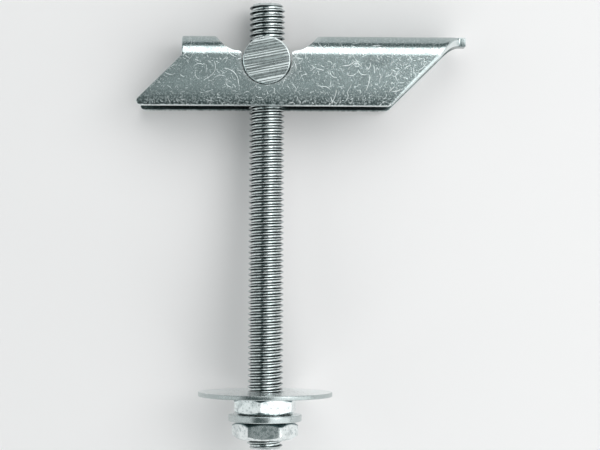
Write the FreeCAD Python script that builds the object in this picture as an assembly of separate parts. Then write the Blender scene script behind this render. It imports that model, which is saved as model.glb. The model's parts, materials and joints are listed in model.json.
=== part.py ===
import FreeCAD, Part
import math
import os

from FreeCAD import Vector

# A gravity toggle bolt for hollow ceilings and walls, in millimetres.
# A pressed channel swings on a cross-drilled trunnion nut, which runs on a threaded rod.
# A large washer, a thin nut, a small washer and a second thin nut sit near the rod's lower end.
#
# While it is modelled, the rod stands along Z with its tip up, the channel lies along X
# and the trunnion's centre is the origin. At the end the whole bolt is laid down as it rests,
# on the rim of the large washer and on one bend of the channel.

# Threaded rod
rod_diameter = 8.0
rod_length = 99.5
rod_end_chamfer = 0.7
rod_tip_above_trunnion = 13.2

# Room between the rod and the plain bores that stand for the mating threads
thread_play = 0.05

# Channel: sheet, section and the ends of its flat blank
sheet_thickness = 2.0
channel_width = 13.0
bend_outer_radius = 4.8
web_above_trunnion = 5.8
feet_below_trunnion = 10.15
left_foot_reach = 30.15
left_web_reach = 18.9
right_foot_reach = 27.45
right_bend_reach = 38.7
right_shoulder_reach = 43.05
tip_tab_length = 1.5
foot_corner_radius = 0.9

# Opening punched through the web and both bends, above the trunnion
opening_half_length = 11.6
opening_corner_radius = 5.5
saddle_above_trunnion = 1.98

# Trunnion nut and the play in its two notches
trunnion_diameter = 10.7
trunnion_play = 0.25
trunnion_recess = 0.5
trunnion_chamfer = 0.4

# Washers
large_washer_diameter = 30.0
large_washer_thickness = 1.0
large_washer_edge = 0.2
small_washer_diameter = 16.4
small_washer_thickness = 1.5
small_washer_edge = 0.25
washer_hole_play = 0.25

# Thin hexagon nuts, chamfered on both faces
nut_across_flats = 13.0
nut_height = 4.0
nut_face_diameter = 11.8
nut_chamfer_angle = 30.0
nut_countersink = 0.35
upper_nut_turn = 22.5
lower_nut_turn = 0.0
rod_stub = 2.1

# Stations along a bend at which the punched outline is folded
fold_stations = 9

# Places along the rod, counted up from its lower end
rod_bottom = rod_tip_above_trunnion - rod_length
lower_nut_bottom = rod_bottom + rod_stub
small_washer_bottom = lower_nut_bottom + nut_height
upper_nut_bottom = small_washer_bottom + small_washer_thickness
large_washer_bottom = upper_nut_bottom + nut_height
large_washer_top = large_washer_bottom + large_washer_thickness

# The channel's section and its blank. A place on the blank is given by x along the channel
# and by v, the distance across the sheet from the middle of the web, along the neutral line.
bend_inner_radius = bend_outer_radius - sheet_thickness
bend_neutral_radius = bend_outer_radius - sheet_thickness / 2
bend_start = web_above_trunnion - bend_outer_radius
flat_half = channel_width / 2 - bend_outer_radius
wall_start = flat_half + bend_neutral_radius * math.pi / 2
blank_half = wall_start + bend_start + feet_below_trunnion
tip_reach = right_shoulder_reach + tip_tab_length
saddle_angle = math.acos((saddle_above_trunnion - bend_start) / bend_outer_radius)
saddle_v = flat_half + bend_neutral_radius * saddle_angle
opening_corner = min(opening_corner_radius, saddle_v)
notch_radius = trunnion_diameter / 2 + trunnion_play

# How far the punches reach past the sheet that they cut
past = 1.0


def turned(points):
    """Solid of revolution about Z, from the corners (radius, height) of its half section."""
    corners = [Vector(radius, 0, height) for radius, height in points]
    section = Part.Face(Part.makePolygon(corners + corners[:1]))
    return section.revolve(Vector(0, 0, 0), Vector(0, 0, 1), 360)


def side_punch(points):
    """Prism across the whole channel, from its outline (x, z) in side view."""
    corners = [Vector(x, -channel_width / 2 - past, z) for x, z in points]
    outline = Part.Face(Part.makePolygon(corners + corners[:1]))
    return outline.extrude(Vector(0, channel_width + 2 * past, 0))


def on_bend(x, v, radius, side):
    """Where a place (x, v) of the blank comes to lie on one bend, at a radius from the bend's axis."""
    angle = (v - flat_half) / bend_neutral_radius
    y = side * (flat_half + radius * math.sin(angle))
    z = bend_start + radius * math.cos(angle)
    return Vector(x, y, z)


def bend_punch(stations, side):
    """Punch folded with the sheet round one bend. A station is (v, lowest x, highest x)."""
    inside = bend_inner_radius / 2
    outside = bend_outer_radius + past
    sections = []
    for v, low, high in stations:
        corners = [
            on_bend(low, v, inside, side),
            on_bend(high, v, inside, side),
            on_bend(high, v, outside, side),
            on_bend(low, v, outside, side),
        ]
        sections.append(Part.makePolygon(corners + corners[:1]))
    return Part.makeLoft(sections, True)


def spread(low, high, count):
    """Evenly spaced values from low to high."""
    return [low + (high - low) * k / (count - 1) for k in range(count)]


def channel_section():
    """The U of the bent sheet, with its web up."""
    half = channel_width / 2
    corner = math.sqrt(0.5)

    def bend_arc(side, radius, from_web=False):
        middle = Vector(0, side * (flat_half + radius * corner), bend_start + radius * corner)
        ends = [
            Vector(0, side * (flat_half + radius), bend_start),
            Vector(0, side * flat_half, bend_start + radius),
        ]
        if from_web:
            ends.reverse()
        return Part.Arc(ends[0], middle, ends[1]).toShape()

    def line(start, end):
        return Part.makeLine(Vector(0, *start), Vector(0, *end))

    foot = -feet_below_trunnion
    top = web_above_trunnion
    under = top - sheet_thickness
    inner = half - sheet_thickness
    edges = [
        line((-half, foot), (-half, bend_start)),
        bend_arc(-1, bend_outer_radius),
        line((-flat_half, top), (flat_half, top)),
        bend_arc(1, bend_outer_radius, from_web=True),
        line((half, bend_start), (half, foot)),
        line((half, foot), (inner, foot)),
        line((inner, foot), (inner, bend_start)),
        bend_arc(1, bend_inner_radius),
        line((flat_half, under), (-flat_half, under)),
        bend_arc(-1, bend_inner_radius, from_web=True),
        line((-inner, bend_start), (-inner, foot)),
        line((-inner, foot), (-half, foot)),
    ]
    return Part.Face(Part.Wire(edges))


def left_end_punch():
    """The walls are sheared on a slant up to the bends, then the bends and web square across."""
    rise = bend_start + feet_below_trunnion
    slant = (left_foot_reach - left_web_reach) / rise
    low = -feet_below_trunnion - past
    return side_punch([
        (-left_foot_reach - slant * past, low),
        (-left_web_reach, bend_start),
        (-left_web_reach, web_above_trunnion + past),
        (-left_foot_reach - 2 * slant * past, web_above_trunnion + past),
        (-left_foot_reach - 2 * slant * past, low),
    ])


def right_end_punch():
    """The slant of the walls runs on over both bends, steeper there, to the tab at the tip."""
    slant = (right_bend_reach - right_foot_reach) / (bend_start + feet_below_trunnion)
    slant_on_bend = (right_shoulder_reach - right_bend_reach) / (wall_start - flat_half)
    low = -feet_below_trunnion - past
    far = tip_reach + past
    walls = side_punch([
        (right_foot_reach - slant * past, low),
        (right_bend_reach, bend_start),
        (far, bend_start),
        (far, low),
    ])
    stations = [
        (v, right_shoulder_reach - slant_on_bend * (v - flat_half), far)
        for v in spread(flat_half, wall_start, fold_stations)
    ]
    bends = [bend_punch(stations, side) for side in (-1, 1)]
    return walls.multiFuse(bends)


def opening_reach(v):
    """Half the length of the opening at a distance v across the blank."""
    past_straight = max(v - (saddle_v - opening_corner), 0)
    return opening_half_length - opening_corner + math.sqrt(opening_corner**2 - past_straight**2)


def opening_punch():
    """Round-cornered opening over the web and both bends, folded with the sheet."""
    straight = saddle_v - opening_corner
    first = max(straight, flat_half)
    first_angle = math.asin((first - straight) / opening_corner)
    angles = spread(first_angle, math.pi / 2, fold_stations)
    across = [straight + opening_corner * math.sin(angle) for angle in angles]
    if straight > flat_half:
        across.insert(0, flat_half)
    stations = [(v, -opening_reach(v), opening_reach(v)) for v in across]
    bends = [bend_punch(stations, side) for side in (-1, 1)]

    under = web_above_trunnion - sheet_thickness - past
    edges = []
    for end in (1, -1):
        at = [Vector(end * opening_reach(abs(v)), end * v, under) for v in (-flat_half, flat_half)]
        if straight < flat_half:
            halfway = (straight + flat_half) / 2
            inner = [Vector(end * opening_half_length, end * v, under) for v in (-straight, straight)]
            mids = [Vector(end * opening_reach(halfway), end * v, under) for v in (-halfway, halfway)]
            edges.append(Part.Arc(at[0], mids[0], inner[0]).toShape())
            edges.append(Part.makeLine(inner[0], inner[1]))
            edges.append(Part.Arc(inner[1], mids[1], at[1]).toShape())
        else:
            edges.append(Part.makeLine(at[0], at[1]))
        edges.append(Part.makeLine(at[1], Vector(-at[1].x, at[1].y, under)))
    web = Part.Face(Part.Wire(edges)).extrude(Vector(0, 0, sheet_thickness + 2 * past))
    return web.multiFuse(bends)


def notch_punch():
    """U-shaped seat for the trunnion through both walls, open to the opening above it."""
    length = channel_width + 2 * past
    back = -length / 2
    seat = Part.makeCylinder(notch_radius, length, Vector(0, back, 0), Vector(0, 1, 0))
    height = saddle_above_trunnion + past
    throat = Part.makeBox(2 * notch_radius, length, height, Vector(-notch_radius, back, 0))
    return seat.fuse(throat)


def toggle_channel():
    """Pressed channel with slanted ends, the opening in its web and the trunnion's notches."""
    length = left_foot_reach + tip_reach
    section = channel_section()
    section.translate(Vector(-left_foot_reach, 0, 0))
    channel = section.extrude(Vector(length, 0, 0))
    for punch in (left_end_punch(), right_end_punch(), opening_punch(), notch_punch()):
        channel = channel.cut(punch)
    corners = [
        edge
        for edge in channel.Edges
        if edge.BoundBox.YLength > sheet_thickness / 2
        and edge.BoundBox.ZMax < -feet_below_trunnion + sheet_thickness / 2
        and edge.BoundBox.XLength < sheet_thickness / 2
    ]
    channel = channel.makeFillet(foot_corner_radius, corners)
    return channel.removeSplitter().Solids[0]


def trunnion_nut():
    """Round bar across the channel, cross-drilled for the rod."""
    radius = trunnion_diameter / 2
    half = channel_width / 2 - trunnion_recess
    bar = turned([
        (0, -half),
        (radius - trunnion_chamfer, -half),
        (radius, -half + trunnion_chamfer),
        (radius, half - trunnion_chamfer),
        (radius - trunnion_chamfer, half),
        (0, half),
    ])
    bar.rotate(Vector(0, 0, 0), Vector(1, 0, 0), 90)
    bore = rod_diameter / 2 + thread_play
    drill = Part.makeCylinder(bore, 2 * trunnion_diameter, Vector(0, 0, -trunnion_diameter))
    return bar.cut(drill).Solids[0]


def threaded_rod():
    """Rod at the size over its thread, with both ends chamfered."""
    radius = rod_diameter / 2
    top = rod_tip_above_trunnion
    return turned([
        (0, rod_bottom),
        (radius - rod_end_chamfer, rod_bottom),
        (radius, rod_bottom + rod_end_chamfer),
        (radius, top - rod_end_chamfer),
        (radius - rod_end_chamfer, top),
        (0, top),
    ])


def washer(diameter, thickness, edge, bottom):
    """Flat washer with its outer edges broken."""
    hole = rod_diameter / 2 + washer_hole_play
    radius = diameter / 2
    top = bottom + thickness
    return turned([
        (hole, bottom),
        (radius - edge, bottom),
        (radius, bottom + edge),
        (radius, top - edge),
        (radius - edge, top),
        (hole, top),
    ])


def thin_nut(bottom, turn):
    """Thin hexagon nut with its corners chamfered on both faces and both bores countersunk."""
    corner = nut_across_flats / math.sqrt(3)
    points = []
    for k in range(6):
        angle = math.radians(60 * k + turn)
        points.append(Vector(corner * math.cos(angle), corner * math.sin(angle), bottom))
    prism = Part.Face(Part.makePolygon(points + points[:1])).extrude(Vector(0, 0, nut_height))

    top = bottom + nut_height
    face = nut_face_diameter / 2
    wide = corner + past
    drop = (wide - face) * math.tan(math.radians(nut_chamfer_angle))
    envelope = turned([
        (0, bottom),
        (face, bottom),
        (wide, bottom + drop),
        (wide, top - drop),
        (face, top),
        (0, top),
    ])

    bore = rod_diameter / 2 + thread_play
    mouth = bore + nut_countersink
    depth = nut_countersink * math.tan(math.radians(nut_chamfer_angle))
    drill = turned([
        (0, bottom),
        (mouth, bottom),
        (bore, bottom + depth),
        (bore, top - depth),
        (mouth, top),
        (0, top),
    ])
    return prism.common(envelope).cut(drill).Solids[0]


def resting_lean():
    """Lean of the rod when the bolt lies on its large washer and on one bend of the channel.

    In a side view along the channel, the floor is the line through the washer's upper rim
    that touches the outer arc of the bend.
    """
    along = bend_start - (large_washer_top - large_washer_edge)
    across = large_washer_diameter / 2 - flat_half
    spacing = math.hypot(along, across)
    return math.atan2(across, along) - math.asin(bend_outer_radius / spacing)


def laid_down(pieces):
    """All pieces turned from upright to lying, with the middle of the floor area as the origin."""
    turn = -90 - math.degrees(resting_lean())
    for piece in pieces.values():
        piece.rotate(Vector(0, 0, 0), Vector(1, 0, 0), turn)
    box = Part.makeCompound(list(pieces.values())).optimalBoundingBox(False)
    shift = Vector(-box.Center.x, -box.Center.y, -box.ZMin)
    for piece in pieces.values():
        piece.translate(shift)
    return pieces


def build():
    pieces = {
        "toggle_channel": toggle_channel(),
        "trunnion_nut": trunnion_nut(),
        "threaded_rod": threaded_rod(),
        "large_washer": washer(
            large_washer_diameter, large_washer_thickness, large_washer_edge, large_washer_bottom
        ),
        "upper_nut": thin_nut(upper_nut_bottom, upper_nut_turn),
        "small_washer": washer(
            small_washer_diameter, small_washer_thickness, small_washer_edge, small_washer_bottom
        ),
        "lower_nut": thin_nut(lower_nut_bottom, lower_nut_turn),
    }
    return laid_down(pieces)


os.makedirs("parts", exist_ok=True)
for name, shape in build().items():
    shape.exportStep(f"parts/{name}.step")
    box = shape.BoundBox
    print(name, shape.isValid(), round(shape.Volume, 2), [round(v, 3) for v in (
        box.XMin, box.YMin, box.ZMin, box.XMax, box.YMax, box.ZMax)])
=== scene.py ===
import bpy
import bmesh
import json
import math
from mathutils import Matrix, Vector


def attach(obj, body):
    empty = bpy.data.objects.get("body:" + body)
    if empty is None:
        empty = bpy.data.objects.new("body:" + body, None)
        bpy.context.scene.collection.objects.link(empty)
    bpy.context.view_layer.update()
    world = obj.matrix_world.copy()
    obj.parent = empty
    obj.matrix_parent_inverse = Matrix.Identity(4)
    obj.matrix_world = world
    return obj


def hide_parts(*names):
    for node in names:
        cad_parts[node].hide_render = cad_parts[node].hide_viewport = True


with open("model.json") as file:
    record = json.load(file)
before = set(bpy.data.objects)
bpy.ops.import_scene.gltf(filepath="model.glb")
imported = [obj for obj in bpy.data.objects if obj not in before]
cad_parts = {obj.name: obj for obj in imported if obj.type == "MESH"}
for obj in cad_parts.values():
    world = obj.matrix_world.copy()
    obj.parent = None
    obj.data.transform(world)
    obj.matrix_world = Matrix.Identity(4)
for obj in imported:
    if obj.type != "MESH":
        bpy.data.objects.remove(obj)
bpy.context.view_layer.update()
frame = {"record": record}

mm = 0.001
joints = {joint["name"]: joint for joint in frame["record"]["behaviour"]["joints"]}

# Every piece is drawn upright: rod along Z with its tip up, bar along X, trunnion at the
# origin and the near side towards -Y. boltPlace then lays it where the frame has it.
upWay = Vector(joints["toggle_travel"]["axis"])
nearWay = Vector(joints["bar_pivot"]["axis"])
trunnionAt = Vector(joints["bar_pivot"]["pos_m"])
boltPlace = Matrix.Translation(trunnionAt) @ Matrix((
    (1, -nearWay.x, upWay.x, 0),
    (0, -nearWay.y, upWay.y, 0),
    (0, -nearWay.z, upWay.z, 0),
    (0, 0, 0, 1),
))
uprightPlace = boltPlace.inverted()  # for materials that read upright coordinates


def newObject(name, data):
    piece = bpy.data.objects.new(name, data)
    bpy.context.collection.objects.link(piece)
    return piece


def meshFrom(name, bm):
    bmesh.ops.recalc_face_normals(bm, faces=bm.faces)
    mesh = bpy.data.meshes.new(name)
    bm.to_mesh(mesh)
    bm.free()
    return mesh


def revolve(name, segments, profileAt, turn=0.0):  # profileAt gives the closed outline at an angle
    bm = bmesh.new()
    rings = []
    for k in range(segments):
        angle = 2 * math.pi * k / segments
        cosine, sine = math.cos(angle + turn), math.sin(angle + turn)
        rings.append([
            bm.verts.new((r * cosine * mm, r * sine * mm, z * mm)) for r, z in profileAt(angle)
        ])
    for here, there in zip(rings, rings[1:] + rings[:1]):
        for j in range(len(here)):
            n = (j + 1) % len(here)
            bm.faces.new((here[j], there[j], there[n], here[n]))
    return newObject(name, meshFrom(name, bm))


def markPoints(piece, name, measure):  # an attribute for the material, worked out from each place
    marks = piece.data.attributes.new(name, "FLOAT", "POINT")
    for vertex, mark in zip(piece.data.vertices, marks.data):
        mark.value = measure(vertex.co)


def freeze(piece):  # modifiers become plain mesh
    depsgraph = bpy.context.evaluated_depsgraph_get()
    mesh = bpy.data.meshes.new_from_object(piece.evaluated_get(depsgraph))
    piece.modifiers.clear()
    piece.data = mesh


def settle(piece, body, node, material, creaseAngle):
    piece.data.transform(boltPlace)
    piece.data.materials.clear()
    piece.data.materials.append(material)
    piece.data.shade_smooth()
    piece.data.set_sharp_from_angle(angle=math.radians(creaseAngle))
    level = piece.modifiers.new("levelFaces", "WEIGHTED_NORMAL")
    level.keep_sharp = True
    freeze(piece)
    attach(piece, body)
    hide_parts(node)


# Node helpers

def addSocket(tree, way, name, kind, value=None):
    socket = tree.interface.new_socket(name=name, in_out=way, socket_type=kind)
    if value is not None:
        socket.default_value = value


def treeOf(*values):  # helpers add their nodes to the tree that a given socket is in
    return next(value.id_data for value in values if isinstance(value, bpy.types.NodeSocket))


def feed(value, socket):
    if isinstance(value, bpy.types.NodeSocket):
        socket.id_data.links.new(value, socket)
    else:
        socket.default_value = value


def maths(operation, a, b=0.0):
    node = treeOf(a, b).nodes.new("ShaderNodeMath")
    node.operation = operation
    feed(a, node.inputs[0])
    feed(b, node.inputs[1])
    return node.outputs[0]


def plus(a, b):
    return maths("ADD", a, b)


def minus(a, b):
    return maths("SUBTRACT", a, b)


def times(a, b):
    return maths("MULTIPLY", a, b)


def larger(a, b):
    return maths("MAXIMUM", a, b)


def smaller(a, b):
    return maths("MINIMUM", a, b)


def size(value):
    return maths("ABSOLUTE", value)


def mapped(value, fromLow, fromHigh, toLow=0.0, toHigh=1.0):
    node = treeOf(value).nodes.new("ShaderNodeMapRange")
    for socket, number in zip(node.inputs, (value, fromLow, fromHigh, toLow, toHigh)):
        feed(number, socket)
    return node.outputs[0]


def vectorMaths(operation, a, b):
    node = treeOf(a, b).nodes.new("ShaderNodeVectorMath")
    node.operation = operation
    feed(a, node.inputs[0])
    feed(b, node.inputs["Scale" if operation == "SCALE" else 1])
    return node.outputs[0]


def turned(vector, axis, angle):
    node = treeOf(vector).nodes.new("ShaderNodeVectorRotate")
    node.rotation_type = axis
    feed(vector, node.inputs["Vector"])
    feed(angle, node.inputs["Angle"])
    return node.outputs[0]


def split(vector):
    node = treeOf(vector).nodes.new("ShaderNodeSeparateXYZ")
    feed(vector, node.inputs[0])
    return node.outputs


def combined(x, y, z):
    node = treeOf(x, y, z).nodes.new("ShaderNodeCombineXYZ")
    for socket, value in zip(node.inputs, (x, y, z)):
        feed(value, socket)
    return node.outputs[0]


def attribute(tree, name):
    node = tree.nodes.new("ShaderNodeAttribute")
    node.attribute_name = name
    return node.outputs["Fac"]


# Surface finish shared by every piece

zincInputs = {
    "Cloud Scale": 80.0, "Cloud Strength": 0.4,
    "Speckle Scale": 900.0, "Speckle Strength": 0.6,
    "Scratch Scale": 300.0, "Scratch Strength": 0.5,
    "Line Scale": 900.0, "Line Turn": 0.0, "Line Strength": 0.0,
    "Hairs": 0.0,   # scratches drawn outside the group
    "Shade": 0.0,   # harsh grain, dark and pale; painted shade on the rod's flanks, the channel's bends and the washers' rims
    "Bare": 0.0,    # bright: painted highlight, partly bare metal on the channel's sheared ends
    "Grime": 0.0,   # plain dark: painted shade
    "Coarse": 0.0,  # least roughness
    "Rough Low": 0.25, "Rough High": 0.45, "Edge Wear": 0.4,
}
zincRanges = {  # the pattern's value where each mark begins, and where it is full
    "clouds": (0.52, 0.36),
    "dullSpecks": (0.48, 0.34),
    "paleSpecks": (0.54, 0.66),
    "shadedDull": (0.58, 0.45),
    "shadedPale": (0.54, 0.60),
    "scratches": (0.60, 0.64),
    "fineScratches": (0.58, 0.66),
    "darkLines": (0.51, 0.44),
    "paleLines": (0.54, 0.62),
    "edges": (0.505, 0.56),
    "gloss": (0.36, 0.64),
}
scratchWidths = {"scratches": 0.012, "fineScratches": 0.04}
lineShape = {
    "squeeze": (0.025, 0.025, 1.0),  # stretches the lines across the face
    "waveScale": 0.15, "waveShare": 0.25, "unevenShare": 0.6, "level": 0.075,
}


def buildZincFinish():
    tree = bpy.data.node_groups.new("zincFinish", "ShaderNodeTree")
    addSocket(tree, "INPUT", "Coordinates", "NodeSocketVector")
    for name in ("Pale Color", "Base Color", "Dark Color"):
        addSocket(tree, "INPUT", name, "NodeSocketColor")
    for name, value in zincInputs.items():
        addSocket(tree, "INPUT", name, "NodeSocketFloat", value)
    addSocket(tree, "OUTPUT", "Color", "NodeSocketColor")
    addSocket(tree, "OUTPUT", "Roughness", "NodeSocketFloat")
    addSocket(tree, "OUTPUT", "Height", "NodeSocketFloat")
    given = tree.nodes.new("NodeGroupInput").outputs
    out = tree.nodes.new("NodeGroupOutput").inputs

    def noise(scale, detail, roughness, vector, distortion=0.0):
        node = tree.nodes.new("ShaderNodeTexNoise")
        feed(vector, node.inputs["Vector"])
        feed(scale, node.inputs["Scale"])
        node.inputs["Detail"].default_value = detail
        node.inputs["Roughness"].default_value = roughness
        node.inputs["Distortion"].default_value = distortion
        return node.outputs["Fac"]

    def shown(value, mark, least=0.0, most=1.0):
        return mapped(value, *zincRanges[mark], least, most)

    def ridge(value, mark):  # a thin line wherever the value passes its middle
        off = size(minus(value, 0.5))
        return mapped(off, 0.0, scratchWidths[mark], 1.0, 0.0)

    def blended(factor, a, b):
        node = tree.nodes.new("ShaderNodeMix")
        node.data_type = "RGBA"
        for index, value in ((0, factor), (6, a), (7, b)):  # its colour sockets are 6 and 7
            feed(value, node.inputs[index])
        return node.outputs[2]

    spot = given["Coordinates"]
    cloud = noise(given["Cloud Scale"], 3.0, 0.55, spot, 0.4)
    speckle = noise(given["Speckle Scale"], 2.0, 0.6, spot)
    dullAndShade = larger(
        times(shown(cloud, "clouds"), given["Cloud Strength"]),
        times(shown(speckle, "dullSpecks"), given["Speckle Strength"]),
    )
    dullAndShade = larger(dullAndShade, times(given["Shade"], shown(speckle, "shadedDull", 0.15)))
    # the plain dark added here is painted shade
    dullAndShade = larger(dullAndShade, given["Grime"])
    paleSpecks = larger(
        times(shown(speckle, "paleSpecks"), given["Speckle Strength"]),
        times(given["Shade"], shown(speckle, "shadedPale", 0.0, 0.85)),
    )

    # Curved scratches: broken contour lines of two noises
    scale = given["Scratch Scale"]
    curves = noise(scale, 0.0, 0.5, spot, 0.5)
    breaks = noise(times(scale, 1.3), 1.0, 0.5, spot)
    finer = noise(times(scale, 2.6), 1.0, 0.5, spot, 0.6)
    finerBreaks = noise(times(scale, 1.9), 1.0, 0.5, spot)
    scratches = larger(
        times(ridge(curves, "scratches"), shown(breaks, "scratches")),
        times(ridge(finer, "fineScratches"), shown(finerBreaks, "fineScratches", 0.0, 0.7)),
    )
    scratches = larger(times(scratches, given["Scratch Strength"]), given["Hairs"])

    # Parallel lines, as a saw or a polishing belt leaves them
    across = turned(spot, "Y_AXIS", given["Line Turn"])
    squeezed = vectorMaths("MULTIPLY", across, lineShape["squeeze"])
    wave = tree.nodes.new("ShaderNodeTexWave")
    wave.bands_direction = "Z"
    feed(squeezed, wave.inputs["Vector"])
    feed(times(given["Line Scale"], lineShape["waveScale"]), wave.inputs["Scale"])
    wave.inputs["Distortion"].default_value = 3.0
    wave.inputs["Detail"].default_value = 1.0
    wave.inputs["Detail Scale"].default_value = 2.0
    uneven = times(noise(given["Line Scale"], 1.0, 0.5, squeezed), lineShape["unevenShare"])
    even = times(wave.outputs["Fac"], lineShape["waveShare"])
    grain = plus(plus(uneven, lineShape["level"]), even)
    darkLines = times(shown(grain, "darkLines"), given["Line Strength"])
    paleLines = times(shown(grain, "paleLines"), given["Line Strength"])

    pointiness = tree.nodes.new("ShaderNodeNewGeometry").outputs["Pointiness"]
    # edge wear, and a bright mark that is a painted highlight, partly bare metal on the channel's
    # sheared ends
    edge = larger(times(shown(pointiness, "edges"), given["Edge Wear"]), given["Bare"])

    color = blended(larger(dullAndShade, darkLines), given["Base Color"], given["Dark Color"])
    bright = larger(larger(paleSpecks, paleLines), larger(scratches, edge))
    color = blended(times(bright, minus(1.0, given["Grime"])), color, given["Pale Color"])
    rough = shown(speckle, "gloss", given["Rough High"], given["Rough Low"])
    marks = times(larger(scratches, paleLines), 0.55)
    rough = larger(rough, larger(marks, given["Coarse"]))
    height = plus(speckle, plus(scratches, times(grain, given["Line Strength"])))
    feed(color, out["Color"])
    feed(rough, out["Roughness"])
    feed(height, out["Height"])
    return tree


zincFinish = buildZincFinish()


def placeGroup(tree, group, values):
    node = tree.nodes.new("ShaderNodeGroup")
    node.node_tree = group
    for name, value in values.items():
        node.inputs[name].default_value = value
    return node


def zincMaterial(name, settings, useUv=False):  # gives the material and its finish node
    material = bpy.data.materials.new(name)
    material.use_nodes = True
    tree = material.node_tree
    shader = tree.nodes["Principled BSDF"]
    shader.inputs["Metallic"].default_value = 1.0
    finish = placeGroup(tree, zincFinish, settings["finish"])
    place = tree.nodes.new("ShaderNodeTexCoord")
    mapping = tree.nodes.new("ShaderNodeMapping")
    feed(place.outputs["UV" if useUv else "Object"], mapping.inputs["Vector"])
    feed(mapping.outputs["Vector"], finish.inputs["Coordinates"])
    if not useUv:
        mapping.inputs["Location"].default_value = uprightPlace.translation
        mapping.inputs["Rotation"].default_value = uprightPlace.to_euler()
    bump = tree.nodes.new("ShaderNodeBump")
    bump.inputs["Strength"].default_value = settings["bump"]
    bump.inputs["Distance"].default_value = settings["bumpDepth"]
    feed(finish.outputs["Height"], bump.inputs["Height"])
    feed(finish.outputs["Color"], shader.inputs["Base Color"])
    feed(finish.outputs["Roughness"], shader.inputs["Roughness"])
    feed(bump.outputs["Normal"], shader.inputs["Normal"])
    return material, finish


def coordinatesOf(finish):  # the same coordinates that the finish reads
    return finish.inputs["Coordinates"].links[0].from_socket


def dressRims(finish, **strengths):  # punched edges, chamfers and crevices differ from the faces: painted shade or painted highlight, and roughness
    rim = attribute(finish.id_data, "rim")
    for name, strength in strengths.items():
        feed(times(rim, strength), finish.inputs[name])


# Threaded rod

rodSettings = {
    "bottom": -86.3 * mm,
    "top": 13.2 * mm,
    "crestRadius": 4.0 * mm,
    "threadDepth": 0.68 * mm,
    "pitch": 1.25 * mm,
    "flank": (0.125, 0.75),  # where it starts and ends, from mid-crest to mid-root
    "endRadius": 3.25 * mm,
    "segments": 48,
    "rows": 16,
    "mergeGap": 0.002 * mm,
    "flankFade": 0.12 * mm,
    # strengths of the painted shade on the flanks
    "flankShade": 0.6,
    "flankGrime": 1.1,
    "endFade": (0.9 * mm, 0.5 * mm),  # from the end, where the flanks' painted shade gives way
    "endShare": 0.3,
}


def buildThreadTree():
    tree = bpy.data.node_groups.new("rolledThread", "GeometryNodeTree")
    addSocket(tree, "OUTPUT", "Geometry", "NodeSocketGeometry")
    addSocket(tree, "INPUT", "Geometry", "NodeSocketGeometry")
    for name in ("Bottom", "Top", "Pitch", "Crest Radius", "Thread Depth", "Flank Start",
                 "Flank End", "End Radius", "Merge Gap"):
        addSocket(tree, "INPUT", name, "NodeSocketFloat", 0.0)
    addSocket(tree, "INPUT", "Segments", "NodeSocketInt", 48)
    addSocket(tree, "INPUT", "Rows", "NodeSocketInt", 16)
    addSocket(tree, "INPUT", "Material", "NodeSocketMaterial")
    given = tree.nodes.new("NodeGroupInput").outputs
    result = tree.nodes.new("NodeGroupOutput").inputs

    # One long strip, a pitch wide, wound round the rod as many times as the thread turns
    length = minus(given["Top"], given["Bottom"])
    turns = plus(maths("CEIL", maths("DIVIDE", length, given["Pitch"])), 1.0)
    grid = tree.nodes.new("GeometryNodeMeshGrid")
    grid.inputs["Size X"].default_value = 1
    grid.inputs["Size Y"].default_value = 1
    feed(plus(times(turns, given["Segments"]), 1.0), grid.inputs["Vertices X"])
    feed(plus(given["Rows"], 1.0), grid.inputs["Vertices Y"])

    spot = split(tree.nodes.new("GeometryNodeInputPosition").outputs[0])
    along = times(plus(spot["X"], 0.5), turns)
    across = plus(spot["Y"], 0.5)
    angle = times(along, 2 * math.pi)
    rise = plus(times(minus(plus(along, across), 1.0), given["Pitch"]), given["Bottom"])
    rise = smaller(larger(rise, given["Bottom"]), given["Top"])
    fromCrest = times(size(minus(across, 0.5)), 2.0)
    crest = given["Crest Radius"]
    root = minus(crest, given["Thread Depth"])
    radius = mapped(fromCrest, given["Flank Start"], given["Flank End"], crest, root)
    toEnd = smaller(minus(rise, given["Bottom"]), minus(given["Top"], rise))
    radius = smaller(radius, plus(toEnd, given["End Radius"]))
    x = times(radius, maths("COSINE", angle))
    y = times(radius, maths("SINE", angle))
    wrap = tree.nodes.new("GeometryNodeSetPosition")
    feed(grid.outputs["Mesh"], wrap.inputs["Geometry"])
    feed(combined(x, y, rise), wrap.inputs["Position"])

    join = tree.nodes.new("GeometryNodeJoinGeometry")
    feed(wrap.outputs[0], join.inputs[0])
    for height, turn in ((given["Top"], 0.0), (given["Bottom"], math.pi)):
        disc = tree.nodes.new("GeometryNodeMeshCircle")
        disc.fill_type = "NGON"
        feed(given["Segments"], disc.inputs["Vertices"])
        feed(given["End Radius"], disc.inputs["Radius"])
        move = tree.nodes.new("GeometryNodeTransform")
        feed(disc.outputs[0], move.inputs["Geometry"])
        feed(combined(0.0, 0.0, height), move.inputs["Translation"])
        move.inputs["Rotation"].default_value = (turn, 0, 0)
        feed(move.outputs[0], join.inputs[0])
    merge = tree.nodes.new("GeometryNodeMergeByDistance")
    realize = tree.nodes.new("GeometryNodeRealizeInstances")
    paint = tree.nodes.new("GeometryNodeSetMaterial")
    feed(join.outputs[0], merge.inputs["Geometry"])
    feed(given["Merge Gap"], merge.inputs["Distance"])
    feed(merge.outputs[0], realize.inputs[0])
    feed(realize.outputs[0], paint.inputs["Geometry"])
    feed(given["Material"], paint.inputs["Material"])
    feed(paint.outputs[0], result[0])
    return tree


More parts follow.
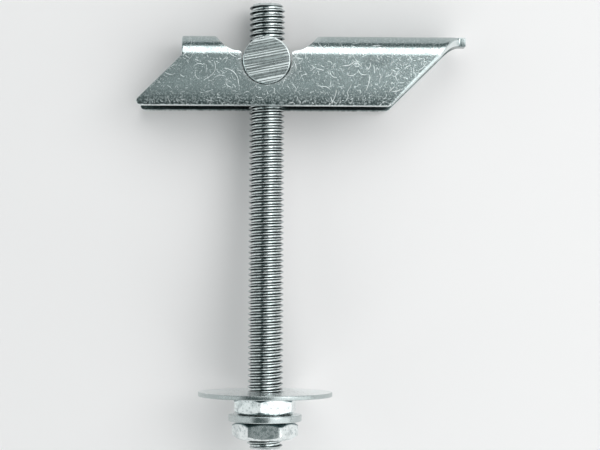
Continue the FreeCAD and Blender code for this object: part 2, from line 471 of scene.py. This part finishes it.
def shadeFlanks(finish):  # painted shade: crests and roots stay bright, the flanks between them are darkened for the dark they reflect
    s = rodSettings
    spot = split(coordinatesOf(finish))
    radius = maths("SQRT", plus(times(spot["X"], spot["X"]), times(spot["Y"], spot["Y"])))
    root = s["crestRadius"] - s["threadDepth"]
    low = mapped(radius, root, root + s["flankFade"])
    high = mapped(radius, s["crestRadius"] - s["flankFade"], s["crestRadius"], 1.0, 0.0)
    middle = (s["top"] + s["bottom"]) / 2
    reach = s["top"] - middle
    fromMiddle = size(minus(spot["Z"], middle))
    fadeStart, fadeEnd = (reach - inset for inset in s["endFade"])
    ends = mapped(fromMiddle, fadeStart, fadeEnd, 1.0, s["endShare"])
    band = times(times(low, high), ends)
    feed(times(band, s["flankShade"]), finish.inputs["Shade"])
    feed(times(band, s["flankGrime"]), finish.inputs["Grime"])


def makeRod():
    material, finish = zincMaterial("rodZinc", {
        "bump": 0.15, "bumpDepth": 0.05 * mm,
        "finish": {
            "Pale Color": (0.94, 0.95, 0.96, 1),
            "Base Color": (0.74, 0.81, 0.81, 1),
            "Dark Color": (0.05, 0.07, 0.07, 1),
            "Cloud Scale": 260.0, "Cloud Strength": 0.2,
            "Speckle Scale": 2600.0, "Speckle Strength": 0.45,
            "Scratch Scale": 500.0, "Scratch Strength": 0.3,
            "Rough Low": 0.12, "Rough High": 0.24, "Edge Wear": 0.3,
        },
    })
    shadeFlanks(finish)
    s = rodSettings
    piece = newObject("threadedRod", bpy.data.meshes.new("threadedRod"))
    tree = buildThreadTree()
    modifier = piece.modifiers.new("thread", "NODES")
    modifier.node_group = tree
    values = {
        "Bottom": s["bottom"],
        "Top": s["top"],
        "Pitch": s["pitch"],
        "Crest Radius": s["crestRadius"],
        "Thread Depth": s["threadDepth"],
        "Flank Start": s["flank"][0],
        "Flank End": s["flank"][1],
        "End Radius": s["endRadius"],
        "Merge Gap": s["mergeGap"],
        "Segments": s["segments"],
        "Rows": s["rows"],
        "Material": material,
    }
    for item in tree.interface.items_tree:
        if item.in_out == "INPUT" and item.name in values:
            modifier[item.identifier] = values[item.name]
    freeze(piece)
    settle(piece, "rod", "threaded_rod", material, 63)
    print("rod: thread of", len(piece.data.polygons), "faces")


# Channel, folded from its flat blank

channelSettings = {  # millimetres, as the smaller pieces' settings are too
    "sheet": 2.0,
    "halfWidth": 6.5,
    "bendRadius": 4.8,       # outer face
    "webHeight": 5.8,        # heights count from the trunnion's middle
    "footDepth": 10.15,
    "leftFoot": -30.15,
    "leftWeb": -18.9,
    "rightFoot": 27.45,
    "rightBend": 38.7,
    "rightShoulder": 43.05,
    "tip": 44.55,
    "footCorner": 0.9,
    "openingHalf": 11.6,
    "openingCorner": 5.5,
    "saddleHeight": 1.98,
    "saddleCorner": 0.5,
    "notchRadius": 5.6,
    "edgeRound": 0.2,
    "shearRound": 0.7,       # on the outer face at the right end
    "shearRun": 3.0,         # height over which it grows to that
    "edgeAngle": 50.0,       # sharper edges are rounded
    "openingMargin": 0.5,    # and none this near the opening
    "bendRows": 18,
    "notchRows": 18,
    "cornerRows": 6,
    "cornerArc": (0.9, math.pi / 2),   # radians of the opening's corner that get rows
    "saddleRows": 4,
    "footRows": 4,
    "footArc": (-math.pi / 4, 0.77),   # and of the foot's corner, clear of its rounded edge
    "wallRows": 4,
    "columns": 22,
    "rowGap": 0.1,
    "mergeGap": 0.004,
    "uvPerMetre": 10,
}


def blankLengths():  # along the flat blank, where v counts from its middle line to a foot
    s = channelSettings
    neutral = s["bendRadius"] - s["sheet"] / 2
    flatHalf = s["halfWidth"] - s["bendRadius"]
    bendStart = s["webHeight"] - s["bendRadius"]
    wallStart = flatHalf + neutral * math.pi / 2
    foot = wallStart + bendStart + s["footDepth"]
    saddle = flatHalf + neutral * math.acos((s["saddleHeight"] - bendStart) / s["bendRadius"])
    return {
        "neutral": neutral,      # radius of the bend at mid-sheet
        "flatHalf": flatHalf,
        "bendStart": bendStart,  # height of the bend's axis
        "wallStart": wallStart,
        "foot": foot,
        "pivot": wallStart + bendStart,
        "saddle": saddle,
        "corner": saddle - s["openingCorner"],
        "leftSlant": (s["leftWeb"] - s["leftFoot"]) / (foot - wallStart),
        "rightSlant": (s["rightBend"] - s["rightFoot"]) / (foot - wallStart),
        "bendSlant": (s["rightShoulder"] - s["rightBend"]) / (wallStart - flatHalf),
    }


blank = {**channelSettings, **blankLengths()}


def folded(x, v):  # place of a blank point on the bent sheet's middle surface
    s = blank
    side = -1 if v < 0 else 1
    v = abs(v)
    if v <= s["flatHalf"]:
        return Vector((x, side * v, s["bendStart"] + s["neutral"]))
    if v <= s["wallStart"]:
        angle = (v - s["flatHalf"]) / s["neutral"]
        y = s["flatHalf"] + s["neutral"] * math.sin(angle)
        return Vector((x, side * y, s["bendStart"] + s["neutral"] * math.cos(angle)))
    return Vector((x, side * (s["flatHalf"] + s["neutral"]), s["bendStart"] - (v - s["wallStart"])))


def unfolded(y, z):  # the blank's v below a place on the finished channel
    s = blank
    if z < s["bendStart"]:
        return s["wallStart"] + s["bendStart"] - z
    angle = math.atan2(max(abs(y) - s["flatHalf"], 0), z - s["bendStart"])
    return s["flatHalf"] + s["neutral"] * angle


def outwards(place):  # distance from the bend's axis, or from its level on flat stretches
    y = max(abs(place.y) / mm - blank["flatHalf"], 0)
    z = max(place.z / mm - blank["bendStart"], 0)
    return math.hypot(y, z)


def arcHeight(radius, off):  # of a circle, at this distance from its middle
    return math.sqrt(max(radius**2 - off**2, 0))


def roundedFoot(v, end, slant, inward):  # slanted end with a small arc at the foot
    foot, radius = blank["foot"], blank["footCorner"]
    angle = math.atan2(1, slant) if inward > 0 else math.pi - math.atan2(1, slant)
    centreX = end + inward * radius / math.tan(angle / 2)
    if v < foot - radius * (1 + math.cos(angle)):
        return end + slant * (foot - v)
    return centreX - inward * arcHeight(radius, v - foot + radius)


def leftEnd(v):
    s = blank
    return s["leftWeb"] if v < s["wallStart"] else roundedFoot(v, s["leftFoot"], s["leftSlant"], 1)


def rightEnd(v):
    s = blank
    if v < s["wallStart"]:
        return s["rightShoulder"] - s["bendSlant"] * max(v - s["flatHalf"], 0)
    return roundedFoot(v, s["rightFoot"], s["rightSlant"], -1)


def openingEdge(v):  # half length of the opening in the web, then of the trunnion's notch
    s = blank
    if v <= s["saddle"]:
        corner = s["openingCorner"]
        return s["openingHalf"] - corner + arcHeight(corner, max(v - s["corner"], 0))
    if v < s["saddle"] + s["saddleCorner"]:
        corner = s["saddleCorner"]
        return s["notchRadius"] + corner - arcHeight(corner, corner - (v - s["saddle"]))
    return arcHeight(s["notchRadius"], max(v - s["pivot"], 0))


def steps(low, high, count):
    return [low + (high - low) * k / count for k in range(count + 1)]


def blankRows():  # the rows that the shape needs, then more wherever there is room
    s = blank
    quarter = math.pi / 2
    notchEnd = s["pivot"] + s["notchRadius"]
    footStart = s["foot"] - s["footCorner"]
    rows = [0.0, s["flatHalf"], s["saddle"], s["saddle"] + s["saddleCorner"], s["wallStart"],
            s["pivot"], notchEnd, footStart, s["foot"]]
    extra = [s["corner"] + s["openingCorner"] * math.sin(a)
             for a in steps(*s["cornerArc"], s["cornerRows"])]
    extra += [s["saddle"] + s["saddleCorner"] * (1 - math.cos(a))
              for a in steps(0, quarter, s["saddleRows"])]
    extra += [s["pivot"] + s["notchRadius"] * math.sin(a)
              for a in steps(0, quarter, s["notchRows"])]
    extra += [s["foot"] - s["footCorner"] * (1 - math.sin(a))
              for a in steps(*s["footArc"], s["footRows"])]
    extra += steps(notchEnd, footStart, s["wallRows"])
    extra += steps(s["flatHalf"], s["wallStart"], s["bendRows"])
    for v in extra:
        if min(abs(v - row) for row in rows) > s["rowGap"]:
            rows.append(v)
    rows.sort()
    return [-v for v in reversed(rows[1:])] + rows


def foldBlank():  # left and right of the opening, bent but still without thickness
    s = blank
    bm = bmesh.new()
    uvLayer = bm.loops.layers.uv.new("blank")
    uvScale = s["uvPerMetre"]
    blankSpot = {}
    for sign in (-1, 1):
        lines = []
        for v in blankRows():
            outer = leftEnd(abs(v)) if sign < 0 else rightEnd(abs(v))
            inner = sign * openingEdge(abs(v))
            spots = steps(inner, outer, s["columns"])
            if sign > 0 and abs(v) <= s["flatHalf"]:  # the web runs on into the tab at the tip
                spots += steps(outer, s["tip"], 2)[1:]
            line = []
            for x in spots:
                vertex = bm.verts.new(folded(x, v))
                blankSpot[vertex] = (x, v)
                line.append(vertex)
            lines.append(line)
        for low, high in zip(lines, lines[1:]):
            for k in range(min(len(low), len(high)) - 1):
                corners = [low[k], low[k + 1], high[k + 1], high[k]]
                face = bm.faces.new(corners if sign > 0 else corners[::-1])
                for loop in face.loops:
                    x, v = blankSpot[loop.vert]
                    loop[uvLayer].uv = (x * mm * uvScale, v * mm * uvScale)
    bmesh.ops.remove_doubles(bm, verts=bm.verts, dist=s["mergeGap"])
    bmesh.ops.dissolve_degenerate(bm, edges=bm.edges, dist=s["mergeGap"])
    for vertex in bm.verts:
        vertex.co *= mm
    mesh = bpy.data.meshes.new("toggleChannel")
    bm.to_mesh(mesh)
    bm.free()
    return mesh


def roundEdges(piece):  # widest where the shear drew the outer face down
    s = blank
    bm = bmesh.new()
    bm.from_mesh(piece.data)
    weight = bm.edges.layers.float.new("bevel_weight_edge")
    least = s["edgeRound"] / s["shearRound"]
    for edge in bm.edges:
        if len(edge.link_faces) != 2 or edge.calc_face_angle() < math.radians(s["edgeAngle"]):
            continue
        middle = (edge.verts[0].co + edge.verts[1].co) / 2
        x, z = middle.x / mm, middle.z / mm
        margin = s["openingMargin"]
        if abs(x) < s["openingHalf"] + margin and z > -s["notchRadius"] - margin:
            continue
        outer = outwards(middle) > s["neutral"]
        sheared = outer and s["rightFoot"] < x < s["rightShoulder"]
        rise = (z + s["footDepth"] - s["footCorner"]) / s["shearRun"]
        edge[weight] = least + (1 - least) * min(max(rise, 0), 1) if sheared else least
    bm.to_mesh(piece.data)
    bm.free()
    bevel = piece.modifiers.new("edge", "BEVEL")
    bevel.width = s["shearRound"] * mm
    bevel.segments = 3
    bevel.limit_method = "WEIGHT"
    bevel.use_clamp_overlap = False
    freeze(piece)


channelMarks = {
    "insideShare": 0.35,  # of the sheet, below its middle surface
    "footSlack": 0.03,
    "endSlack": 0.05,
    "tabSlack": 0.1,      # keeps the tab at the tip out
}


# where the channel's inside gets painted shade and no scratches
def isInside(place):
    return float(outwards(place) < blank["neutral"] - blank["sheet"] * channelMarks["insideShare"])


def isCut(place):  # sheared ends and the near foot get a painted highlight, partly bare metal on the ends; the far foot gets none
    s = channelMarks
    x, y, z = place / mm
    v = unfolded(y, z)
    atFoot = v > blank["foot"] - s["footSlack"] and y < 0
    pastEnd = x > rightEnd(v) - s["endSlack"] or x < leftEnd(v) + s["endSlack"]
    return float(atFoot or (v > blank["flatHalf"] + s["tabSlack"] and pastEnd))


hairSettings = (  # from the longest scratches to the shortest, one layer each
    {"Scale": 19.0, "Length": 0.75, "Width": 0.020, "Bend": 3.0, "Share": 0.40, "Strength": 0.9},
    {"Scale": 43.0, "Length": 0.70, "Width": 0.038, "Bend": 3.0, "Share": 0.35, "Strength": 0.8},
    {"Scale": 90.0, "Length": 0.60, "Width": 0.075, "Bend": 2.0, "Share": 0.35, "Strength": 0.7},
    {"Scale": 190.0, "Length": 0.50, "Width": 0.160, "Bend": 1.0, "Share": 0.40, "Strength": 0.6},
)


def buildHairs():  # one short curved stroke to each cell of the pattern
    tree = bpy.data.node_groups.new("hairScratches", "ShaderNodeTree")
    addSocket(tree, "INPUT", "Coordinates", "NodeSocketVector")
    for name in hairSettings[0]:
        addSocket(tree, "INPUT", name, "NodeSocketFloat")
    addSocket(tree, "OUTPUT", "Fac", "NodeSocketFloat")
    given = tree.nodes.new("NodeGroupInput").outputs
    out = tree.nodes.new("NodeGroupOutput").inputs

    cells = tree.nodes.new("ShaderNodeTexVoronoi")
    cells.voronoi_dimensions = "2D"
    feed(given["Coordinates"], cells.inputs["Vector"])
    feed(given["Scale"], cells.inputs["Scale"])
    chance = split(cells.outputs["Color"])
    local = vectorMaths("SUBTRACT", given["Coordinates"], cells.outputs["Position"])
    local = vectorMaths("SCALE", local, given["Scale"])
    spot = split(turned(local, "Z_AXIS", times(chance["X"], 2 * math.pi)))
    bend = times(minus(chance["Y"], 0.5), given["Bend"])
    sag = times(maths("POWER", size(spot["X"]), 2.0), bend)
    line = mapped(size(minus(spot["Y"], sag)), 0.0, given["Width"], 1.0, 0.0)
    reach = times(given["Length"], plus(chance["Y"], 0.3))
    ends = mapped(size(spot["X"]), times(reach, 0.5), reach, 1.0, 0.0)
    kept = maths("LESS_THAN", chance["Z"], given["Share"])
    feed(times(times(times(line, ends), kept), given["Strength"]), out["Fac"])
    return tree


def scratchChannel(finish):
    tree = finish.id_data
    hairScratches = buildHairs()
    total = 0.0
    for settings in hairSettings:
        layer = placeGroup(tree, hairScratches, settings)
        feed(coordinatesOf(finish), layer.inputs["Coordinates"])
        total = larger(total, layer.outputs["Fac"])
    outside = minus(1.0, attribute(tree, "inside"))
    feed(times(total, outside), finish.inputs["Hairs"])


channelShading = {
    "feet": (0.74, 0.98),                # shares of the way from the middle line to the foot
    "bendRise": (0.25, 0.5, 0.4, 0.95),  # shares of the way to mid-bend, and strengths there
    "bendFall": (1.05, 1.22, 1.0, 0.0),
    "bends": 0.5, "insideGrime": 0.8, "cutBare": 0.7, "cutCoarse": 0.36,
}


def shadeByBlank(finish):  # darker and grainier along both feet; painted shade along the bends and inside the channel; painted highlight on the cut edges, partly bare metal
    s = channelShading
    tree = finish.id_data
    toUv = mm * blank["uvPerMetre"]
    distance = size(split(coordinatesOf(finish))["Y"])

    def alongBlank(where, low, high, *strengths):
        return mapped(distance, where * toUv * low, where * toUv * high, *strengths)

    midBend = (blank["flatHalf"] + blank["wallStart"]) / 2
    # painted shade along the bends, where they reflect dark surroundings
    bends = times(alongBlank(midBend, *s["bendRise"]), alongBlank(midBend, *s["bendFall"]))
    bends = times(bends, s["bends"])
    shade = larger(alongBlank(blank["foot"], *s["feet"]), bends)
    bendAndInsideShade = larger(bends, times(attribute(tree, "inside"), s["insideGrime"]))
    cut = attribute(tree, "cut")
    uncut = minus(1.0, cut)
    feed(times(shade, uncut), finish.inputs["Shade"])
    feed(times(bendAndInsideShade, uncut), finish.inputs["Grime"])
    # painted highlight, partly bare metal, on the cut edges
    feed(times(cut, s["cutBare"]), finish.inputs["Bare"])
    feed(times(cut, s["cutCoarse"]), finish.inputs["Coarse"])


def makeChannel():
    piece = newObject("toggleChannel", foldBlank())
    solid = piece.modifiers.new("sheet", "SOLIDIFY")
    solid.thickness = blank["sheet"] * mm
    solid.offset = 0
    solid.use_even_offset = True
    freeze(piece)
    roundEdges(piece)
    markPoints(piece, "inside", isInside)
    markPoints(piece, "cut", isCut)
    material, finish = zincMaterial("channelZinc", {
        "bump": 0.25, "bumpDepth": 0.06 * mm,
        "finish": {
            "Pale Color": (0.95, 0.98, 0.98, 1),
            "Base Color": (0.60, 0.70, 0.70, 1),
            "Dark Color": (0.06, 0.09, 0.09, 1),
            "Cloud Scale": 14.0, "Cloud Strength": 0.25,
            "Speckle Scale": 200.0, "Speckle Strength": 0.35,
            "Scratch Scale": 26.0, "Scratch Strength": 0.3,
            "Rough Low": 0.16, "Rough High": 0.28, "Edge Wear": 0.5,
        },
    }, useUv=True)
    scratchChannel(finish)
    shadeByBlank(finish)
    settle(piece, "bar", "toggle_channel", material, 40)
    print("channel:", len(piece.data.polygons), "faces")


# Trunnion nut

trunnionSettings = {
    "radius": 5.35, "half": 6.0, "chamfer": 0.35, "bore": 4.05,
    "segments": 96, "boreSegments": 64, "chamferSteps": 4,
    "rimInset": 0.9, "rimDrop": 0.95,  # shares of the chamfer that count as its rim, which gets a painted highlight
}


def makeTrunnion():
    s = trunnionSettings

    def addRound(bm, radius, length, segments, **place):
        bmesh.ops.create_cone(bm, cap_ends=True, segments=segments, radius1=radius * mm,
                              radius2=radius * mm, depth=length * mm, **place)

    bar = bmesh.new()
    lying = Matrix.Rotation(math.pi / 2, 4, "X")
    addRound(bar, s["radius"], 2 * s["half"], s["segments"], matrix=lying)
    rims = [edge for edge in bar.edges if edge.calc_face_angle() > math.radians(60)]
    bmesh.ops.bevel(bar, geom=rims, offset=s["chamfer"] * mm, segments=s["chamferSteps"],
                    profile=0.5, affect="EDGES")
    piece = newObject("trunnionNut", meshFrom("trunnionNut", bar))
    drillMesh = bmesh.new()
    addRound(drillMesh, s["bore"], 4 * s["radius"], s["boreSegments"])
    drill = newObject("drill", meshFrom("drill", drillMesh))
    bore = piece.modifiers.new("bore", "BOOLEAN")
    bore.object = drill
    bore.operation = "DIFFERENCE"
    bore.solver = "EXACT"
    freeze(piece)
    bpy.data.objects.remove(drill)

    def onRim(place):
        inset = s["half"] - abs(place.y) / mm
        drop = s["radius"] - math.hypot(place.x, place.z) / mm
        return float(inset < s["chamfer"] * s["rimInset"] and drop < s["chamfer"] * s["rimDrop"])

    markPoints(piece, "rim", onRim)
    material, finish = zincMaterial("trunnionZinc", {
        "bump": 0.3, "bumpDepth": 0.05 * mm,
        "finish": {
            "Pale Color": (0.88, 0.94, 0.94, 1),
            "Base Color": (0.44, 0.52, 0.52, 1),
            "Dark Color": (0.03, 0.05, 0.05, 1),
            "Cloud Scale": 200.0, "Cloud Strength": 0.2,
            "Speckle Scale": 1400.0, "Speckle Strength": 0.5,
            "Scratch Scale": 300.0, "Scratch Strength": 0.2,
            "Line Scale": 3400.0, "Line Turn": math.radians(11), "Line Strength": 1.0,
            "Rough Low": 0.24, "Rough High": 0.36, "Edge Wear": 0.9,
        },
    })
    # painted highlight round the chamfer's rim
    dressRims(finish, Bare=1.0)
    settle(piece, "trunnion", "trunnion_nut", material, 30)
    print("trunnion:", len(piece.data.polygons), "faces")


# Washers

washerSettings = {
    "largeWasher": {
        "body": "large_washer", "node": "large_washer",
        "bottom": -74.7, "thickness": 1.0, "radius": 15.0, "edge": 0.2, "rimShadeAndDulling": 1.0,
    },
    "smallWasher": {
        "body": "small_washer", "node": "small_washer",
        "bottom": -80.2, "thickness": 1.5, "radius": 8.2, "edge": 0.25, "rimShadeAndDulling": 0.9,
    },
}
washerShape = {"hole": 4.25, "holeEdge": 0.1, "segments": 128, "rimShare": 0.9}
washerZinc, washerFinish = zincMaterial("washerZinc", {
    "bump": 0.15, "bumpDepth": 0.05 * mm,
    "finish": {
        "Pale Color": (0.95, 0.97, 0.97, 1),
        "Base Color": (0.90, 0.94, 0.94, 1),
        "Dark Color": (0.18, 0.24, 0.24, 1),
        "Cloud Scale": 220.0, "Cloud Strength": 0.15,
        "Speckle Scale": 2400.0, "Speckle Strength": 0.3,
        "Scratch Scale": 400.0, "Scratch Strength": 0.4,
        "Rough Low": 0.18, "Rough High": 0.34, "Edge Wear": 0.4,
    },
})
# painted shade on the rims, which are also rougher
dressRims(washerFinish, Shade=0.4, Grime=0.62, Coarse=0.24)


def arcPoints(centre, radius, start, count):  # a quarter circle from the angle start
    angles = [math.radians(start + 90 * k / count) for k in range(count + 1)]
    return [(centre[0] + radius * math.cos(a), centre[1] + radius * math.sin(a)) for a in angles]


def makeWasher(name):
    s = {**washerShape, **washerSettings[name]}
    low, high = s["bottom"], s["bottom"] + s["thickness"]
    e, h = s["edge"], s["holeEdge"]
    profile = arcPoints((s["radius"] - e, low + e), e, -90, 5)
    profile += arcPoints((s["radius"] - e, high - e), e, 0, 5)
    profile += arcPoints((s["hole"] + h, high - h), h, 90, 3)
    profile += arcPoints((s["hole"] + h, low + h), h, 180, 3)
    piece = revolve(name, s["segments"], lambda angle: profile)

    def rimShadeAndDulling(place):
        onRim = math.hypot(place.x, place.y) / mm > s["radius"] - e * s["rimShare"]
        return s["rimShadeAndDulling"] if onRim else 0.0

    markPoints(piece, "rim", rimShadeAndDulling)
    settle(piece, s["body"], s["node"], washerZinc, 40)
    print(name, len(piece.data.polygons), "faces")


# Hexagon nuts

nutSettings = {
    "upperNut": {"body": "upper_nut", "node": "upper_nut", "bottom": -78.7, "turn": 22.5},
    "lowerNut": {"body": "lower_nut", "node": "lower_nut", "bottom": -84.2, "turn": 0.0},
}
nutShape = {
    "halfFlats": 6.5, "height": 4.0, "bore": 4.03, "mouth": 4.4,
    "face": 5.9,          # radius of the flat ring on each side
    "chamfer": 30.0,
    "leastDrop": 0.02,    # of the chamfer, where it meets the middle of a flat
    "soft": 0.12,         # rounding of the edges beside the chamfer
    "cornerPower": 42,    # the higher, the sharper the six corners
    "perSide": 20,
    "crevice": 0.35,      # how far the painted shade reaches down below the top chamfer
    "faceMargin": 0.05,
}
nutZinc, nutFinish = zincMaterial("nutZinc", {
    "bump": 0.2, "bumpDepth": 0.05 * mm,
    "finish": {
        "Pale Color": (0.92, 0.94, 0.94, 1),
        "Base Color": (0.86, 0.93, 0.93, 1),
        "Dark Color": (0.08, 0.14, 0.15, 1),
        "Cloud Scale": 420.0, "Cloud Strength": 0.45,
        "Speckle Scale": 1300.0, "Speckle Strength": 0.75,
        "Scratch Scale": 420.0, "Scratch Strength": 0.6,
        "Rough Low": 0.18, "Rough High": 0.36, "Edge Wear": 0.6,
    },
})
# painted shade on the top chamfers and in the crevices, which are also rougher
dressRims(nutFinish, Grime=0.95, Coarse=0.3)


def makeNut(name):
    s = {**nutShape, **nutSettings[name]}
    tangent = math.tan(math.radians(s["chamfer"]))
    low, high = s["bottom"], s["bottom"] + s["height"]
    face, soft = s["face"], s["soft"]
    mouthDepth = (s["mouth"] - s["bore"]) * tangent
    rise, fall = soft * tangent * 0.5, soft * 0.6  # round the chamfer's outer edge

    def hexRadius(angle):  # hexagon with slightly rounded corners
        sides = [max(math.cos(angle - math.radians(60 * k + 30)), 0) for k in range(6)]
        total = sum(side ** s["cornerPower"] for side in sides)
        return s["halfFlats"] / total ** (1 / s["cornerPower"])

    def profileAt(angle):
        outer = hexRadius(angle)
        drop = max((outer - face) * tangent, s["leastDrop"])
        return [
            (s["bore"], low + mouthDepth), (s["mouth"], low),
            (face - soft, low), (face + soft, low + soft * tangent),
            (outer - soft, low + drop - rise), (outer, low + drop + fall),
            (outer, high - drop - s["crevice"]),
            (outer, high - drop - fall), (outer - soft, high - drop + rise),
            (face + soft, high - soft * tangent), (face - soft, high),
            (s["mouth"], high), (s["bore"], high - mouthDepth),
        ]

    def onRim(place):  # painted shade on the top chamfer and the crevice below it
        reach, height = math.hypot(place.x, place.y) / mm, place.z / mm
        drop = (reach - face) * tangent
        return float(reach > face + s["faceMargin"] and height > high - drop - s["crevice"] / 2)

    piece = revolve(name, 6 * s["perSide"], profileAt, math.radians(s["turn"]))
    markPoints(piece, "rim", onRim)
    settle(piece, s["body"], s["node"], nutZinc, 24)
    print(name, len(piece.data.polygons), "faces")


makeRod()
makeChannel()
makeTrunnion()
for name in washerSettings:
    makeWasher(name)
for name in nutSettings:
    makeNut(name)


# Floor, lights and camera

floorSettings = {"half": 2.5, "drop": 0.2 * mm, "color": (0.92, 0.90, 0.90, 1), "roughness": 0.8}


def makeFloor():
    s = floorSettings
    bm = bmesh.new()
    bmesh.ops.create_grid(bm, x_segments=1, y_segments=1, size=s["half"])
    floor = newObject("floor", meshFrom("floor", bm))
    material = bpy.data.materials.new("paleFloor")
    material.use_nodes = True
    shader = material.node_tree.nodes["Principled BSDF"]
    shader.inputs["Base Color"].default_value = s["color"]
    shader.inputs["Roughness"].default_value = s["roughness"]
    floor.data.materials.append(material)
    floor.location.z = -s["drop"]


lightSettings = {  # turn is degrees up and to the right of straight above the bolt
    "topSoftbox": {"turn": (36, 22), "distance": 0.75, "size": (1.05, 0.5), "power": 3.4},
    "rightSoftbox": {"turn": (-14, 48), "distance": 0.75, "size": (1.15, 1.1), "power": 4.7},
    "leftSoftbox": {"turn": (0, -68), "distance": 0.8, "size": (0.75, 0.9), "power": 1.5},
    "lowSoftbox": {"turn": (-60, -10), "distance": 0.8, "size": (1.1, 0.75), "power": 2.2},
    "frontCard": {"turn": (10, 4), "distance": 0.9, "size": (0.5, 0.3), "power": 0.085},
}
worldSettings = {"Color": (0.09, 0.12, 0.12, 1), "Strength": 1.0}


def makeLights():
    for name, s in lightSettings.items():
        data = bpy.data.lights.new(name, "AREA")
        data.shape = "RECTANGLE"
        data.size, data.size_y = s["size"]
        data.energy = s["power"]
        lamp = newObject(name, data)
        up, right = (math.radians(a) for a in s["turn"])
        way = Vector((math.sin(right) * math.cos(up), math.sin(up), math.cos(right) * math.cos(up)))
        lamp.location = way * s["distance"]
        lamp.rotation_euler = way.to_track_quat("Z", "Y").to_euler()
    world = bpy.data.worlds.new("studio")
    world.use_nodes = True
    for name, value in worldSettings.items():
        world.node_tree.nodes["Background"].inputs[name].default_value = value
    bpy.context.scene.world = world


cameraSettings = {
    "distance": 376.0,       # from the rod's axis
    "footX": 5.185,          # where the line of sight square to the rod meets it
    "footZ": -49.36,
    "pixelsPerMm": 4.46,     # at the rod
    "photoSize": (600, 450),
    "footPixel": (289.3, 283),
    "roll": 0.3,
    "sensor": 36.0,
    "clip": (0.01, 10),
}


def makeCamera():
    s = cameraSettings
    width, height = s["photoSize"]
    data = bpy.data.cameras.new("camera")
    data.sensor_width = s["sensor"]
    data.lens = s["sensor"] * s["pixelsPerMm"] * s["distance"] / width
    data.clip_start, data.clip_end = s["clip"]
    camera = newObject("camera", data)
    eye = Vector((s["footX"], -s["distance"], s["footZ"])) * mm
    aimX = s["footX"] + (width / 2 - s["footPixel"][0]) / s["pixelsPerMm"]
    aimZ = s["footZ"] - (height / 2 - s["footPixel"][1]) / s["pixelsPerMm"]
    aim = Vector((aimX, 0, aimZ)) * mm
    back = (eye - aim).normalized()
    right = Vector((0, 0, 1)).cross(back).normalized()
    up = back.cross(right)
    turn = Matrix((right, up, back)).transposed().to_4x4()
    turn = turn @ Matrix.Rotation(math.radians(s["roll"]), 4, "Z")
    camera.matrix_world = boltPlace @ Matrix.Translation(eye) @ turn
    bpy.context.scene.camera = camera


makeFloor()
makeLights()
makeCamera()
bpy.context.scene.view_settings.view_transform = "Standard"
print("studio: floor, camera and", len(lightSettings), "lights")
